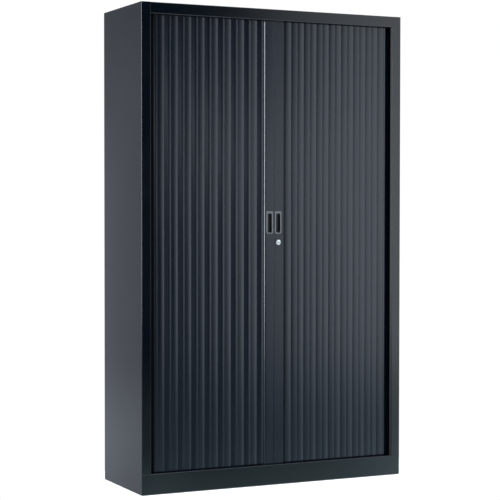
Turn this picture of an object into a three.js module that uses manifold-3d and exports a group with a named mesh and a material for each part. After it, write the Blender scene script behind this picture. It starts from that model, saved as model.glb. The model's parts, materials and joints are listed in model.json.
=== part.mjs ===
// Tall tambour door cabinet in folded sheet steel: a shell on four levelling feet, an inner
// lining with four hooked-in shelves, and two slatted curtains that run in tracks along the
// front, round the corners and down the side cavities.
// Millimetres. +X to the right along the front, +Y to the back, +Z up. The origin is on the
// floor, under the middle of the cabinet.
import * as THREE from "three";
import { mergeVertices } from "three/addons/utils/BufferGeometryUtils.js";
import Module from "manifold-3d";

const wasm = await Module();
wasm.setup();

// ---- overall ----
const W = 1200; // width
const D = 430; // depth
const H = 1980; // height
const T = 0.8; // sheet thickness
const FOLD = 0.6; // inside radius of a fold
const GAP = 0.3; // gap between pieces that lie on each other
const X1 = W / 2,
  Y1 = D / 2;

// ---- shell ----
const STILE = 40; // width of the front stiles
const STILE_RETURN = 18; // depth of their return
const LIP = 12; // the return ends in a lip in front of the curtain's edge
const REAR_FLANGE = 20;
const RAIL = 45; // height of the top rail
const RAIL_RETURN = 12;
const PLINTH = 85; // height of the bottom rail
const PANEL_FOOT = 2; // the sheets end this far above the floor
const PAN_TOP = 41; // top of the base pan
const FLOOR_TOP = 84.8; // top of the fixed bottom shelf

// ---- curtains ----
const PITCH = 59.5; // one slat: two ribs with a groove between
const MID = PITCH / 2;
const LEAD_W = 45; // lead profile width
const LEAD_FRONT = -195; // its front face
const LEAD_BACK = -177;
const LEAD_WALL = 1.6;
const LEAD_R = 3.2; // rounding of its front corners
const LEAD_HINGE = 50.25; // line where the lead slat hooks into the lead profile
// hinge line between the lead slat and the first whole slat
const FIRST_HINGE = { left: 75.5, right: 84 };
const TRACK_Y = -182.3; // hinge line of the front run
const TRACK_R = 38; // corner radius of the hinge line
const TRACK_X = 585; // hinge line of the side run
const TRACK_END = 345; // where the back run ends
const SLATS = 9; // whole slats of each curtain
const SLAT_Z0 = 56,
  SLAT_Z1 = 1964;
const PIN = 10; // length of the guide pins beyond the slats
const BEAD_R = 1.4;

// ---- handles and lock ----
const CUP_X = 19.7,
  CUP_Z = 1096,
  CUP_W = 31,
  CUP_H = 93;
const LOCK_X = 19.5,
  LOCK_Z = 1014,
  LOCK_R = 10.6;

// ---- inside ----
const LINER_X = 566; // inner lining, inside face
const LINER_Y = 168; // half depth of the lining
const UPRIGHT_X = 553; // face of the slotted uprights
const UPRIGHT_Y = 130;
const SLOT_Z = 110, // first slot of an upright, its centre
  SLOT_PITCH = 50,
  SLOTS = 37;
const SHELVES = [468, 818, 1218, 1568]; // top faces
const SHELF_X = 551,
  SHELF_Y = 164,
  SHELF_EDGE = 28;
const FOOT_X = 520,
  FOOT_Y = 146;

// ---- geometry helpers ----
const V = (x, y) => new THREE.Vector2(x, y);

function prism(points, depth) {
  return new THREE.ExtrudeGeometry(new THREE.Shape(points), {
    depth,
    bevelEnabled: false,
    steps: 1,
  });
}

// an outline in X and Y, from z0 to z1
function alongZ(points, z0, z1) {
  return prism(points, z1 - z0).translate(0, 0, z0);
}

// an outline in Y and Z, from x0 to x1
function alongX(points, x0, x1) {
  const turn = new THREE.Matrix4().makeBasis(
    new THREE.Vector3(0, 1, 0),
    new THREE.Vector3(0, 0, 1),
    new THREE.Vector3(1, 0, 0),
  );
  return prism(points, x1 - x0)
    .applyMatrix4(turn)
    .translate(x0, 0, 0);
}

// an outline in X and Z, from y0 to y1
function alongY(points, y0, y1) {
  const turn = new THREE.Matrix4().makeBasis(
    new THREE.Vector3(1, 0, 0),
    new THREE.Vector3(0, 0, 1),
    new THREE.Vector3(0, -1, 0),
  );
  return prism(points, y1 - y0)
    .applyMatrix4(turn)
    .translate(0, y1, 0);
}

function block(x0, x1, y0, y1, z0, z1) {
  return new THREE.BoxGeometry(x1 - x0, y1 - y0, z1 - z0).translate(
    (x0 + x1) / 2,
    (y0 + y1) / 2,
    (z0 + z1) / 2,
  );
}

// a closed geometry as a solid that can be joined and cut
function solid(geometry) {
  const g = geometry.clone();
  g.deleteAttribute("normal");
  g.deleteAttribute("uv");
  const m = mergeVertices(g, 1e-4);
  return new wasm.Manifold(
    new wasm.Mesh({
      numProp: 3,
      vertProperties: new Float32Array(m.attributes.position.array),
      triVerts: new Uint32Array(m.index.array),
    }),
  );
}

function geometryOf(s) {
  const m = s.getMesh();
  const g = new THREE.BufferGeometry();
  const p = new Float32Array(m.numVert * 3);
  for (let i = 0; i < m.numVert; i++)
    for (let k = 0; k < 3; k++)
      p[i * 3 + k] = m.vertProperties[i * m.numProp + k];
  g.setAttribute("position", new THREE.BufferAttribute(p, 3));
  g.setIndex(new THREE.BufferAttribute(new Uint32Array(m.triVerts), 1));
  g.computeVertexNormals();
  return g;
}

const joined = (...all) =>
  geometryOf(all.map(solid).reduce((a, b) => a.add(b)));

function cut(geometry, ...tools) {
  return geometryOf(
    tools.map(solid).reduce((a, b) => a.subtract(b), solid(geometry)),
  );
}

// the outline of a strip of sheet that follows a path of straight lines, with rounded folds;
// side +1 puts the thickness on the left of the path, -1 on the right
function strip(path, side, t = T, inner = FOLD, steps = 3) {
  const near = [],
    far = [];
  const p = path.map(([x, y]) => V(x, y));
  const left = (d) => V(-d.y, d.x);
  const push = (at, normal) => {
    near.push(at.clone());
    far.push(at.clone().addScaledVector(normal, side * t));
  };
  const dir = (i) => p[i + 1].clone().sub(p[i]).normalize();
  push(p[0], left(dir(0)));
  for (let i = 1; i < p.length - 1; i++) {
    const a = dir(i - 1),
      b = dir(i);
    const angle = Math.atan2(a.x * b.y - a.y * b.x, a.dot(b));
    const turn = Math.sign(angle);
    const r = side === turn ? inner + t : inner;
    const back = r * Math.tan(Math.abs(angle) / 2);
    const start = p[i].clone().addScaledVector(a, -back);
    const centre = start.clone().addScaledVector(left(a), turn * r);
    for (let k = 0; k <= steps; k++) {
      const d = a.clone().rotateAround(V(0, 0), (angle * k) / steps);
      push(centre.clone().addScaledVector(left(d), -turn * r), left(d));
    }
  }
  push(p[p.length - 1], left(dir(p.length - 2)));
  return [...near, ...far.reverse()];
}

function disc(x, y, r, n) {
  return Array.from({ length: n }, (_, i) => {
    const a = ((i + 0.5) / n) * 2 * Math.PI;
    return V(x + r * Math.cos(a), y + r * Math.sin(a));
  });
}

function rect(x0, x1, y0, y1) {
  return [V(x0, y0), V(x1, y0), V(x1, y1), V(x0, y1)];
}

// a rectangle whose lower two corners are rounded
function pocket(cx, cz, w, h, r) {
  const out = [V(cx + w / 2, cz + h / 2), V(cx - w / 2, cz + h / 2)];
  for (let k = 0; k <= 5; k++) {
    const a = Math.PI + (k / 5) * (Math.PI / 2);
    out.push(
      V(
        cx - w / 2 + r + r * Math.cos(a),
        cz - h / 2 + r + r * Math.sin(a),
      ),
    );
  }
  for (let k = 0; k <= 5; k++) {
    const a = 1.5 * Math.PI + (k / 5) * (Math.PI / 2);
    out.push(
      V(
        cx + w / 2 - r + r * Math.cos(a),
        cz - h / 2 + r + r * Math.sin(a),
      ),
    );
  }
  return out;
}

// ---- materials ----
const dark = (roughness, metalness, colour = 0x22252a) => () =>
  new THREE.MeshStandardMaterial({ color: colour, roughness, metalness });
const paint = dark(0.4, 0.3);
const inside = dark(0.5, 0.3, 0x282b30);
const pvc = dark(0.3, 0.0, 0x1d2026);
const moulded = dark(0.45, 0.0, 0x17191c);
const trackPlastic = dark(0.5, 0.0, 0x101113);
const zinc = dark(0.35, 0.9, 0x9a9c9e);
const nickel = dark(0.2, 1.0, 0xd0d2d4);

const cabinet = new THREE.Group();
function piece(name, geometry, material) {
  const mesh = new THREE.Mesh(geometry, material());
  mesh.name = name;
  cabinet.add(mesh);
  return mesh;
}

// the same piece on the left and the right: made for the right, mirrored to the left
function pair(name, geometry, material) {
  piece("right_" + name, geometry, material);
  piece("left_" + name, geometry, material).scale.set(-1, 1, 1);
}

// ---- shell ----
const sidePath = [
  [X1 - REAR_FLANGE, Y1],
  [X1, Y1],
  [X1, -Y1],
  [X1 - STILE, -Y1],
  [X1 - STILE, -Y1 + STILE_RETURN],
  [X1 - STILE - LIP, -Y1 + STILE_RETURN],
];
pair(
  "side_panel",
  cut(
    alongZ(strip(sidePath, -1), PANEL_FOOT, H),
    // the bottom rail passes in front here
    block(X1 - STILE - LIP - 2, X1 - T - 0.1, -Y1 - 1, -Y1 + 30, 0, PLINTH + GAP),
    // the return and its lip stop under the top sheet
    block(X1 - STILE - LIP - 2, X1 - STILE + 2, -Y1 + T + GAP, -Y1 + 30, H - 1.1, H + 1),
  ),
  paint,
);

const inX = X1 - T - GAP; // between the side sheets
const railX = X1 - STILE - GAP; // between the stiles
const topPath = [
  [-Y1 + RAIL_RETURN, H - RAIL],
  [-Y1, H - RAIL],
  [-Y1, H],
  [Y1, H],
  [Y1, H - 20],
];
const topCuts = [];
for (const s of [-1, 1]) {
  const span = (a, b) => (s > 0 ? [a, b] : [-b, -a]);
  topCuts.push(
    block(...span(railX, X1 + 5), -Y1 - 1, -Y1 + T + GAP, H - RAIL - 5, H + 5),
    block(...span(railX, X1 + 5), -Y1 + 0.5, -Y1 + 20, H - RAIL - 5, H - 1.5),
    block(...span(X1 - REAR_FLANGE - GAP, X1 + 5), Y1 - T - GAP, Y1 + 1, H - 30, H + 5),
  );
}
piece(
  "top_panel",
  cut(alongX(strip(topPath, -1), -inX, inX), ...topCuts),
  paint,
);

const plinthPath = [
  [-Y1 + 20, PANEL_FOOT],
  [-Y1, PANEL_FOOT],
  [-Y1, PLINTH],
  [-Y1 + 8, PLINTH],
  [-Y1 + 8, PLINTH - 11],
];
piece("front_plinth", alongX(strip(plinthPath, -1), -inX, inX), paint);

// base pan: a sheet with four flanges turned down, and a collar over each foot
const panY = Y1 - T - GAP;
const feet = [
  ["front_left", -FOOT_X, -FOOT_Y],
  ["front_right", FOOT_X, -FOOT_Y],
  ["rear_left", -FOOT_X, FOOT_Y],
  ["rear_right", FOOT_X, FOOT_Y],
];
piece(
  "base_pan",
  cut(
    joined(
      cut(
        block(-inX, inX, -panY, panY, 10, PAN_TOP),
        block(-inX + T, inX - T, -panY + T, panY - T, 5, PAN_TOP - T),
      ),
      ...feet.map(([, x, y]) => alongZ(disc(x, y, 9, 12), PAN_TOP - 18, PAN_TOP - 0.2)),
    ),
    ...feet.map(([, x, y]) => alongZ(disc(x, y, 5.5, 12), 0, 70)),
  ),
  paint,
);

// the back sheet lies inside the rear flanges
piece(
  "back_panel",
  block(-(X1 - 3), X1 - 3, panY - T - 0.1, panY - 0.1, PAN_TOP + GAP, H - 1.1),
  paint,
);

// ---- lining ----
const linerPath = [
  [UPRIGHT_X - 1, -LINER_Y],
  [LINER_X + T, -LINER_Y],
  [LINER_X + T, LINER_Y],
];
pair(
  "liner",
  alongZ(strip(linerPath, 1), PAN_TOP + GAP, H - 1.1),
  inside,
);
piece(
  "inner_back_panel",
  block(-(LINER_X + T), LINER_X + T, LINER_Y + GAP, LINER_Y + GAP + T, PAN_TOP + GAP, H - 1.1),
  inside,
);
const floorPath = [
  [-LINER_Y + 15, PAN_TOP + GAP],
  [-LINER_Y + 2, PAN_TOP + GAP],
  [-LINER_Y + 2, FLOOR_TOP],
  [LINER_Y - 1, FLOOR_TOP],
  [LINER_Y - 1, PAN_TOP + GAP],
  [LINER_Y - 14, PAN_TOP + GAP],
];
piece(
  "bottom_shelf",
  alongX(strip(floorPath, -1), -(LINER_X - GAP), LINER_X - GAP),
  inside,
);

// slotted uprights, in the corners of the lining
const slotCuts = (x0, x1, y) =>
  Array.from({ length: SLOTS }, (_, i) =>
    block(x0, x1, y - 2.5, y + 2.5, SLOT_Z + i * SLOT_PITCH - 8, SLOT_Z + i * SLOT_PITCH + 8),
  );
for (const [place, y] of [
  ["front", -UPRIGHT_Y],
  ["rear", UPRIGHT_Y],
]) {
  const path = [
    [LINER_X - GAP, y - 12],
    [UPRIGHT_X, y - 12],
    [UPRIGHT_X, y + 12],
    [LINER_X - GAP, y + 12],
  ];
  pair(
    place + "_upright",
    cut(
      alongZ(strip(path, -1, 1.0, 0.5, 2), FLOOR_TOP + GAP, H - 8),
      ...slotCuts(UPRIGHT_X - 2, UPRIGHT_X + 3, y),
    ),
    zinc,
  );
}

// shelves: folded edges at the front and back, and four hooks in the uprights' slots
SHELVES.forEach((z, i) => {
  const path = [
    [-SHELF_Y + 14, z - 10],
    [-SHELF_Y + 14, z - SHELF_EDGE],
    [-SHELF_Y, z - SHELF_EDGE],
    [-SHELF_Y, z],
    [SHELF_Y, z],
    [SHELF_Y, z - SHELF_EDGE],
    [SHELF_Y - 14, z - SHELF_EDGE],
    [SHELF_Y - 14, z - 10],
  ];
  const hooks = [];
  for (const s of [-1, 1])
    for (const y of [-UPRIGHT_Y, UPRIGHT_Y]) {
      const a = s * (SHELF_X - 8),
        b = s * (UPRIGHT_X + 5);
      hooks.push(
        block(Math.min(a, b), Math.max(a, b), y - 1, y + 1, z - 14, z - 2),
        block(s > 0 ? a : -SHELF_X, s > 0 ? SHELF_X : -a * -1, y - 1, y + 1, z - 14, z - 0.4),
      );
    }
  piece(
    "shelf_" + (i + 1),
    joined(alongX(strip(path, -1), -SHELF_X, SHELF_X), ...hooks),
    inside,
  );
});

// ---- curtain tracks ----
// the hinge line's path: front run, corner, side run, corner, back run
const cornerY = TRACK_Y + TRACK_R;
const cornerX = TRACK_X - TRACK_R;
function trackLine(from, to, steps = 6) {
  const out = [[from, TRACK_Y, 0, -1]];
  for (let k = 0; k <= steps; k++) {
    const a = (k / steps) * (Math.PI / 2);
    const n = [Math.sin(a), -Math.cos(a)];
    out.push([cornerX + TRACK_R * n[0], cornerY + TRACK_R * n[1], ...n]);
  }
  for (let k = 0; k <= steps; k++) {
    const a = (k / steps) * (Math.PI / 2);
    const n = [Math.cos(a), Math.sin(a)];
    out.push([cornerX + TRACK_R * n[0], -cornerY + TRACK_R * n[1], ...n]);
  }
  out.push([to, -TRACK_Y, 0, 1]);
  return out;
}
function band(from, to, half) {
  const line = trackLine(from, to);
  return [
    ...line.map(([x, y, nx, ny]) => V(x + nx * half, y + ny * half)),
    ...line.reverse().map(([x, y, nx, ny]) => V(x - nx * half, y - ny * half)),
  ];
}
const outerBand = band(1, TRACK_END, 4.5),
  innerBand = band(0, TRACK_END - 5, 2.5);
pair(
  "bottom_track",
  cut(
    alongZ(outerBand, PAN_TOP + GAP, PAN_TOP + 13),
    alongZ(innerBand, PAN_TOP + 2.5, PAN_TOP + 15),
  ),
  trackPlastic,
);
pair(
  "top_track",
  cut(
    alongZ(outerBand, H - 13.1, H - 1.1),
    alongZ(innerBand, H - 15, H - 3),
  ),
  trackPlastic,
);

// ---- slats ----
// local outline of one slat: u along the run from its hinge, v outwards. A slat is a shallow
// arch with a groove in the middle, where its wall is thin enough to bend, and two side walls
// slope of the face in degrees towards the middle of the cabinet, from the inner to the outer hinge
const SLOPE = {
  left: [
    [0, 3.9],
    [6, 2.4],
    [12, 1.0],
    [18, 0.1],
    [24, -0.1],
    [MID, -0.1],
    [MID, 2.5],
    [34, 1.7],
    [38, 0.0],
    [42, -2.2],
    [45, -3.2],
    [PITCH, -3.6],
  ],
  right: [
    [0, 1.9],
    [8, 1.1],
    [15, 0.4],
    [22, -0.3],
    [MID, -1.1],
    [MID, 1.4],
    [37, 0.8],
    [42, 0.0],
    [47, -0.8],
    [52, -1.5],
    [PITCH, -2.8],
  ],
};
const FACE = { left: 6.2, right: 6.34 }; // height of the face at the inner hinge
function faceAt(u, side) {
  let v = FACE[side];
  const line = SLOPE[side];
  for (let i = 0; i + 1 < line.length; i++) {
    const [u0, t0] = line[i],
      [u1, t1] = line[i + 1];
    if (u <= u0 || u1 === u0) continue;
    const e = Math.min(u, u1),
      te = t0 + ((t1 - t0) * (e - u0)) / (u1 - u0);
    v += (((t0 + te) / 2) * Math.PI * (e - u0)) / 180;
  }
  return v;
}
const facePoints = (side, u0, u1, shift = 0, n = 4) =>
  Array.from({ length: n + 1 }, (_, k) => {
    const u = u0 + ((u1 - u0) * k) / n;
    return [u, faceAt(u + shift, side)];
  });
const shellOutline = (side) => [
  [1, 2],
  [1, 4.4],
  [0.35, 4.9],
  ...facePoints(side, 0.6, MID - 0.6),
  [MID, faceAt(MID, side) - 0.6],
  ...facePoints(side, MID + 0.6, PITCH - 0.6),
  [PITCH - 0.35, 4.9],
  [PITCH - 1, 4.4],
  [PITCH - 1, 2.2],
  [PITCH - 2.6, 2.2],
  [PITCH - 2.6, 4.4],
  [MID + 0.8, 4.8],
  [MID, 4.7],
  [MID - 0.8, 4.8],
  [2.6, 4.4],
  [2.6, 2],
];
// the lead slats are as wide as half a slat: the left one reaches over its hinge to the lead
// profile, the right one starts beyond it
const leadSlatOutline = (side) => {
  const end = FIRST_HINGE[side] - LEAD_HINGE,
    shift = PITCH - end;
  return [
    ...(side === "left"
      ? [
          [1, 2],
          [1, 4.5],
          [-3.6, 4.6],
          ...facePoints(side, -3.6, end - 0.6, shift),
        ]
      : [
          [1, 2],
          [1, 3.9],
          [4.4, 3.9],
          ...facePoints(side, 4.4, end - 0.6, shift),
        ]),
    [end - 0.35, 4.9],
    [end - 1, 4.4],
    [end - 1, 2.2],
    [end - 2.6, 2.2],
    [end - 2.6, 4.4],
    ...(side === "left"
      ? [
          [2.6, 4.6],
          [2.6, 2],
        ]
      : [
          [6, 4.6],
          [6, 2.6],
          [2.6, 2],
        ]),
  ];
};
const socketOutline = (() => {
  const out = [],
    a0 = (-160 * Math.PI) / 180,
    a1 = (78 * Math.PI) / 180,
    n = 7;
  for (let k = 0; k <= n; k++) {
    const a = a0 + ((a1 - a0) * k) / n;
    out.push([3 * Math.cos(a), 3 * Math.sin(a)]);
  }
  for (let k = n; k >= 0; k--) {
    const a = a0 + ((a1 - a0) * k) / n;
    out.push([1.9 * Math.cos(a), 1.9 * Math.sin(a)]);
  }
  return out;
})();
const neckOutline = (end) => [
  [end - 2.3, 2.9],
  [end - 0.6, -0.4],
  [end + 0.5, 0.3],
  [end - 1.1, 3.2],
];
const beadOutline = Array.from({ length: 8 }, (_, i) => {
  const a = ((i + 0.5) / 8) * 2 * Math.PI;
  return [BEAD_R * Math.cos(a), BEAD_R * Math.sin(a)];
});

// the hinge points of the closed curtain along the track, one every half slat
function along(s) {
  // by the length of the path from the middle of the cabinet
  const arc = (TRACK_R * Math.PI) / 2;
  if (s <= cornerX) return [s, TRACK_Y];
  if (s <= cornerX + arc) {
    const a = (s - cornerX) / TRACK_R;
    return [cornerX + TRACK_R * Math.sin(a), cornerY - TRACK_R * Math.cos(a)];
  }
  return [TRACK_X, cornerY + (s - cornerX - arc)];
}
// made for the right, and mirrored when it is a left piece
function one(side, name, geometry, material) {
  const made = piece(side + "_" + name, geometry, material);
  if (side === "left") made.scale.set(-1, 1, 1);
}
// each half of a slat is a chord of its own length between two points of the track
function nextHinge(s, length) {
  let lo = s,
    hi = s + 2 * length;
  const [x0, y0] = along(s);
  for (let i = 0; i < 60; i++) {
    const mid = (lo + hi) / 2;
    const [x, y] = along(mid);
    if (Math.hypot(x - x0, y - y0) < length) lo = mid;
    else hi = mid;
  }
  return (lo + hi) / 2;
}
for (const side of ["left", "right"]) {
  let s = FIRST_HINGE[side];
  for (let k = 0; k < SLATS; k++) {
    // the two halves bend at the groove
    const s1 = nextHinge(s, MID),
      s2 = nextHinge(s1, MID);
    const A = along(s),
      M = along(s1),
      B = along(s2);
    const unit = (p, q) => {
      const l = Math.hypot(q[0] - p[0], q[1] - p[1]);
      return [(q[0] - p[0]) / l, (q[1] - p[1]) / l];
    };
    const d1 = unit(A, M),
      d2 = unit(M, B);
    const at = (origin, d, u, v) =>
      V(origin[0] + d[0] * u + d[1] * v, origin[1] + d[1] * u - d[0] * v);
    const middle = unit([0, 0], [d1[0] + d2[0], d1[1] + d2[1]]);
    const map = ([u, v]) =>
      u < MID
        ? at(A, d1, u, v)
        : u > MID
          ? at(B, d2, u - PITCH, v)
          : at(M, middle, 0, v);
    const outline = (points) => points.map(map).reverse();
    one(
      side,
      "slat_" + String(k + 1).padStart(2, "0"),
      joined(
        alongZ(outline(shellOutline(side)), SLAT_Z0, SLAT_Z1),
        alongZ(outline(socketOutline), SLAT_Z0, SLAT_Z1),
        alongZ(outline(neckOutline(PITCH)), SLAT_Z0, SLAT_Z1),
        alongZ(
          beadOutline.map(([u, v]) => at(B, d2, u, v)),
          SLAT_Z0 - PIN,
          SLAT_Z1 + PIN,
        ),
      ),
      pvc,
    );
    s = s2;
  }
}

// the lead slat has no guide pins: the runners of the lead profile guide it
const onLine = (hinge) => ([u, v]) => V(hinge + u, TRACK_Y - v);
const leadLine = (points) => points.map(onLine(LEAD_HINGE)).reverse();
for (const side of ["left", "right"]) {
  const end = FIRST_HINGE[side] - LEAD_HINGE;
  one(
    side,
    "lead_slat",
    joined(
      alongZ(leadLine(leadSlatOutline(side)), SLAT_Z0, SLAT_Z1),
      alongZ(leadLine(socketOutline), SLAT_Z0, SLAT_Z1),
      alongZ(leadLine(neckOutline(end)), SLAT_Z0, SLAT_Z1),
      alongZ(leadLine(beadOutline.map(([u, v]) => [u + end, v])), SLAT_Z0, SLAT_Z1),
    ),
    pvc,
  );
}

// ---- lead profiles ----
// hollow extrusion with rounded front corners, and the bead that holds the first slat
const leadRight = 0.5;
function leadOutline(inset) {
  const x0 = leadRight + inset,
    x1 = LEAD_W - inset,
    y0 = LEAD_FRONT + inset,
    y1 = LEAD_BACK - inset,
    r = Math.max(LEAD_R - inset, 0.3),
    out = [V(x1, y1), V(x0, y1)];
  for (let k = 0; k <= 4; k++) {
    const a = Math.PI + (k / 4) * (Math.PI / 2);
    out.push(V(x0 + r + r * Math.cos(a), y0 + r + r * Math.sin(a)));
  }
  for (let k = 0; k <= 4; k++) {
    const a = 1.5 * Math.PI + (k / 4) * (Math.PI / 2);
    out.push(V(x1 - r + r * Math.cos(a), y0 + r + r * Math.sin(a)));
  }
  return out;
}
const lead = joined(
  cut(
    alongZ(leadOutline(0), SLAT_Z0, SLAT_Z1),
    alongZ(leadOutline(LEAD_WALL), SLAT_Z0 - 5, SLAT_Z1 + 5),
  ),
  alongZ(rect(LEAD_W - 0.8, LEAD_HINGE - 1.2, TRACK_Y - 3.4, TRACK_Y - 2.2), SLAT_Z0, SLAT_Z1),
  alongZ(
    neckOutline(LEAD_HINGE).map(([u, v]) => V(u, TRACK_Y - v)).reverse(),
    SLAT_Z0,
    SLAT_Z1,
  ),
  alongZ(disc(LEAD_HINGE, TRACK_Y, BEAD_R, 8), SLAT_Z0, SLAT_Z1),
);
const cupHole = alongY(
  pocket(CUP_X, CUP_Z, CUP_W - 3.4, CUP_H - 3.6, 8.6),
  LEAD_FRONT - 2,
  LEAD_FRONT + 4,
);
// the hook of the lock leaves through a slot in the meeting wall
const hookSlot = block(-1, leadRight + LEAD_WALL + 0.5, -184.2, -179.8, LOCK_Z + 7.5, LOCK_Z + 27.5);
const rightLead = cut(
  lead,
  cupHole,
  hookSlot,
  alongY(disc(LOCK_X, LOCK_Z, 9.3, 20), LEAD_FRONT - 2, LEAD_FRONT + 4),
);
piece("right_lead_profile", rightLead, pvc);
piece("left_lead_profile", cut(lead, cupHole, hookSlot), pvc).scale.set(-1, 1, 1);

pair(
  "handle_cup",
  cut(
    joined(
      alongY(
        pocket(CUP_X, CUP_Z, CUP_W, CUP_H, 9),
        LEAD_FRONT - 1.3,
        LEAD_FRONT - GAP,
      ),
      alongY(
        pocket(CUP_X, CUP_Z, CUP_W - 4.2, CUP_H - 4.4, 8.2),
        LEAD_FRONT - 1,
        LEAD_FRONT + 13.5,
      ),
    ),
    alongY(
      pocket(CUP_X, CUP_Z, CUP_W - 12.4, CUP_H - 11.8, 7),
      LEAD_FRONT - 2,
      LEAD_FRONT + 12,
    ),
  ),
  moulded,
);

// runners in the ends of the lead profiles, with a pin in the track
function runner(end) {
  const up = end > 1000 ? 1 : -1;
  const z = (a, b) => (up > 0 ? [end + a, end + b] : [end - b, end - a]);
  return joined(
    block(leadRight + 2, LEAD_W - 2, LEAD_FRONT + 2.2, LEAD_BACK - 2, ...z(-12, 1)),
    block(leadRight + 0.5, LEAD_W - 0.5, LEAD_FRONT + 1.5, LEAD_BACK - 0.5, ...z(0.3, 1.5)),
    alongZ(disc(LOCK_X, TRACK_Y, 1.8, 10), ...z(1, PIN)),
  );
}
pair("top_runner", runner(SLAT_Z1), moulded);
pair("bottom_runner", runner(SLAT_Z0), moulded);

// ---- lock ----
// in the right lead profile: body, retaining ring, turning barrel, hook; strike in the left one
const lockDisc = (r, n = 24) => disc(LOCK_X, LOCK_Z, r, n);
piece(
  "lock_body",
  cut(
    joined(
      alongY(lockDisc(LOCK_R), -200.7, LEAD_FRONT - GAP),
      alongY(lockDisc(LOCK_R - 0.8), -201.5, -200.2),
      alongY(lockDisc(9, 20), -196, -184.5),
    ),
    alongY(lockDisc(7.3, 20), -208, -180),
  ),
  nickel,
);
piece(
  "lock_ring",
  cut(
    alongY(lockDisc(13.5, 6), LEAD_FRONT + LEAD_WALL + GAP, LEAD_FRONT + LEAD_WALL + 2.8),
    alongY(lockDisc(9.4, 20), -200, -185),
  ),
  zinc,
);
piece(
  "lock_barrel",
  cut(
    joined(
      alongY(lockDisc(7, 20), -201.2, -184.2),
      alongY(rect(LOCK_X - 3, LOCK_X + 3, LOCK_Z - 3, LOCK_Z + 3), -185, -180.3),
    ),
    // keyway
    alongY(rect(LOCK_X - 4.2, LOCK_X + 3, LOCK_Z - 1.1, LOCK_Z + 1.1), -208, -194),
    alongY(disc(LOCK_X + 2.4, LOCK_Z, 2, 12), -208, -194),
  ),
  nickel,
);
const polar = (r, degrees) =>
  V(
    LOCK_X + r * Math.cos((degrees * Math.PI) / 180),
    LOCK_Z + r * Math.sin((degrees * Math.PI) / 180),
  );
const hookArc = (() => {
  const out = [];
  for (let k = 0; k <= 6; k++) out.push(polar(30.6, 50 + (55 * k) / 6));
  for (let k = 6; k >= 0; k--) out.push(polar(26, 50 + (55 * k) / 6));
  return out;
})();
piece(
  "lock_hook",
  cut(
    joined(
      alongY(hookArc, -183.3, -181.3),
      alongY([polar(4, 20), polar(30.6, 50), polar(30.2, 61), polar(4, 91)], -183.3, -181.3),
      alongY(lockDisc(7, 16), -183.3, -181.3),
    ),
    alongY(rect(LOCK_X - 3.3, LOCK_X + 3.3, LOCK_Z - 3.3, LOCK_Z + 3.3), -190, -175),
  ),
  zinc,
);
piece(
  "lock_strike",
  cut(
    block(-(leadRight + LEAD_WALL + GAP + 1.2), -(leadRight + LEAD_WALL + GAP), -187.5, -179, LOCK_Z - 12, LOCK_Z + 36),
    block(-6, 0, -184.2, -179.8, LOCK_Z + 7.5, LOCK_Z + 27.5),
  ),
  zinc,
);

// ---- levelling feet ----
for (const [place, x, y] of feet) {
  const profile = [
    [0, 0],
    [17, 0],
    [18, 1],
    [18, 5],
    [16, 7],
    [5, 8],
    [5, 62],
    [0, 62],
  ].map(([r, z]) => V(r, z));
  const turned = new THREE.LatheGeometry(profile, 18);
  turned.rotateX(Math.PI / 2);
  piece(
    "foot_" + place,
    joined(turned, alongZ(disc(0, 0, 9.5, 6), 7, 15)),
    zinc,
  ).position.set(x, y, 0);
}

export default cabinet;
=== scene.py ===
import bpy, bmesh, json, math
from mathutils import Matrix, Vector


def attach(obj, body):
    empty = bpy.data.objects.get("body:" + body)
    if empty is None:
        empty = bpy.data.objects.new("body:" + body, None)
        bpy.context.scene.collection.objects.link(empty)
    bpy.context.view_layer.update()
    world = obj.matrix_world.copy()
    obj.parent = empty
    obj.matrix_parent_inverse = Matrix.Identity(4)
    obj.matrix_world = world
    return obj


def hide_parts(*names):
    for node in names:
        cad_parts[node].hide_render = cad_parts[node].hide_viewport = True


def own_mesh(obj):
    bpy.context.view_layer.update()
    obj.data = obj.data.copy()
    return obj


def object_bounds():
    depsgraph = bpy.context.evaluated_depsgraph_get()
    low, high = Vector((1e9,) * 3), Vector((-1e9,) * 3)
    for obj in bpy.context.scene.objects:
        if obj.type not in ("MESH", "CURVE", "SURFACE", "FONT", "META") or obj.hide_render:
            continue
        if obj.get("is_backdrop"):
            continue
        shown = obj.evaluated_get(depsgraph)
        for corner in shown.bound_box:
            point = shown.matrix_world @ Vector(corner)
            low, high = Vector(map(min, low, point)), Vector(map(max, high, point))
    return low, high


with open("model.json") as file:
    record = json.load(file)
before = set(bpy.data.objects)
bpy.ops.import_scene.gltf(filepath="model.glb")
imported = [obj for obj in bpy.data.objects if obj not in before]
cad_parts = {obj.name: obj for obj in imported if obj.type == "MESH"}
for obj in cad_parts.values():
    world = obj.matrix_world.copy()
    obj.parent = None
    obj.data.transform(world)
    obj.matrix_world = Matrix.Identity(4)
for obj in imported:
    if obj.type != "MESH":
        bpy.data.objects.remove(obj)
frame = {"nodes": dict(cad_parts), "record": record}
CAD_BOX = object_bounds()
nodes = frame["nodes"]
scene = bpy.context.scene
MM = 0.001


# ------------------------------------------------------------------ camera
def make_camera():
    az, pitch, roll = math.radians(25.6265), math.radians(-1.5855), math.radians(0.0454)
    fw = Vector((math.sin(az) * math.cos(pitch), math.cos(az) * math.cos(pitch), math.sin(pitch)))
    rt = Vector((math.cos(az), -math.sin(az), 0.0))
    up = rt.cross(fw)
    r2 = rt * math.cos(roll) + up * math.sin(roll)
    u2 = up * math.cos(roll) - rt * math.sin(roll)
    data = bpy.data.cameras.new("camera")
    data.sensor_width = 36.0
    data.lens = 111.568
    data.clip_start, data.clip_end = 0.1, 100.0
    cam = bpy.data.objects.new("camera", data)
    m = Matrix((r2, u2, -fw)).transposed().to_4x4()
    m.translation = Vector((-2.88743, -5.98450, 1.16058))
    cam.matrix_world = m
    scene.collection.objects.link(cam)
    scene.camera = cam


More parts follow.
